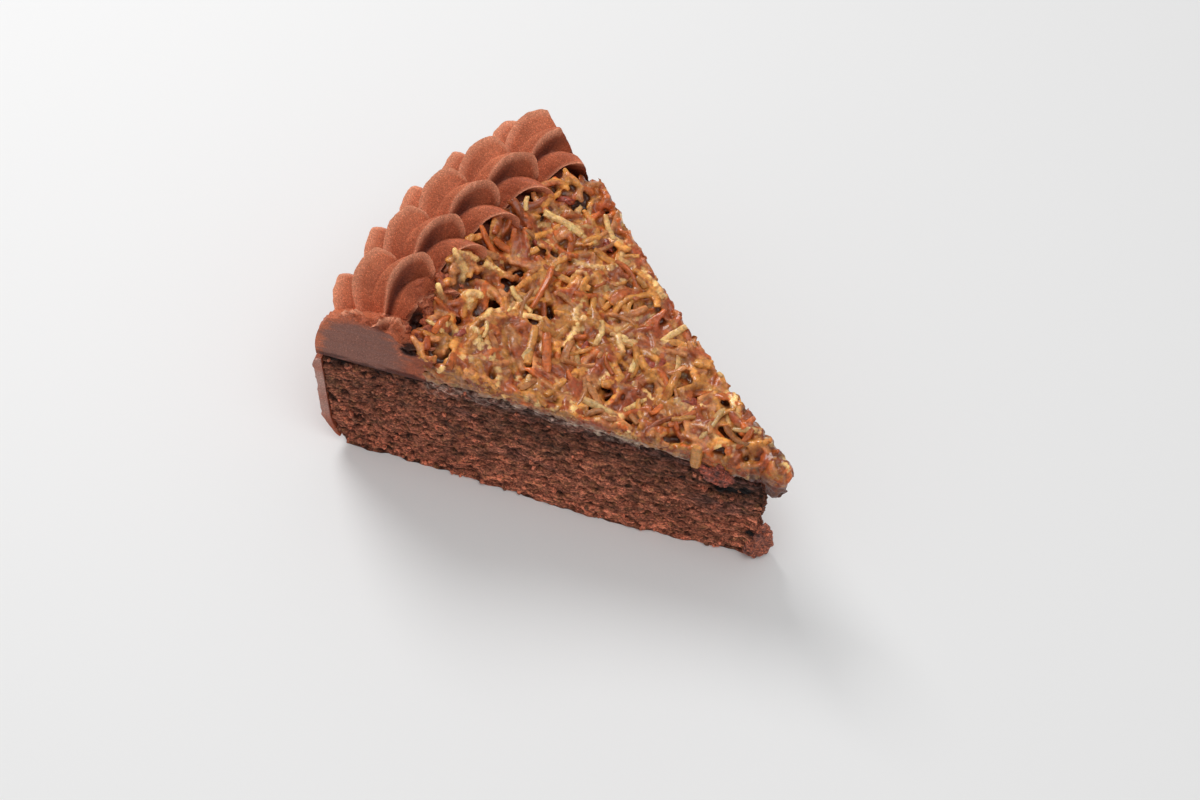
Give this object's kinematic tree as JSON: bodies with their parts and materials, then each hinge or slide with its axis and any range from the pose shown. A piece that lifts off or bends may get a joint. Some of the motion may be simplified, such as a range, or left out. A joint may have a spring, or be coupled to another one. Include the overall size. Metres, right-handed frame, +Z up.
{
  "type": "german chocolate cake slice",
  "caption": "Wedge of layer cake: dark chocolate sponge under a sticky coconut and pecan topping, with a border of piped chocolate icing shells and a thin iced side.",
  "frame": {"origin": "centre of the slice's bounding box, at the flat underside of the sponge", "axes": "+Z up, +X from the iced side towards the slice's tip along its middle line, +Y towards the far cut face"},
  "size_m": [0.1339, 0.1006, 0.0639],
  "materials": {
    "sponge": "open dark brown crumb, matte and slightly moist",
    "side_icing": "thin smooth spread chocolate icing, soft sheen",
    "border_icing": "fine-grained whipped chocolate icing, soft sheen",
    "coconut_topping": "sticky golden brown caramel with coconut shreds and pecan pieces, wet gloss"
  },
  "bodies": {
    "root": {"sponge": "sponge", "side_icing": "side_icing", "border_icing": "border_icing", "coconut_topping": "coconut_topping"}
  },
  "joints": []
}
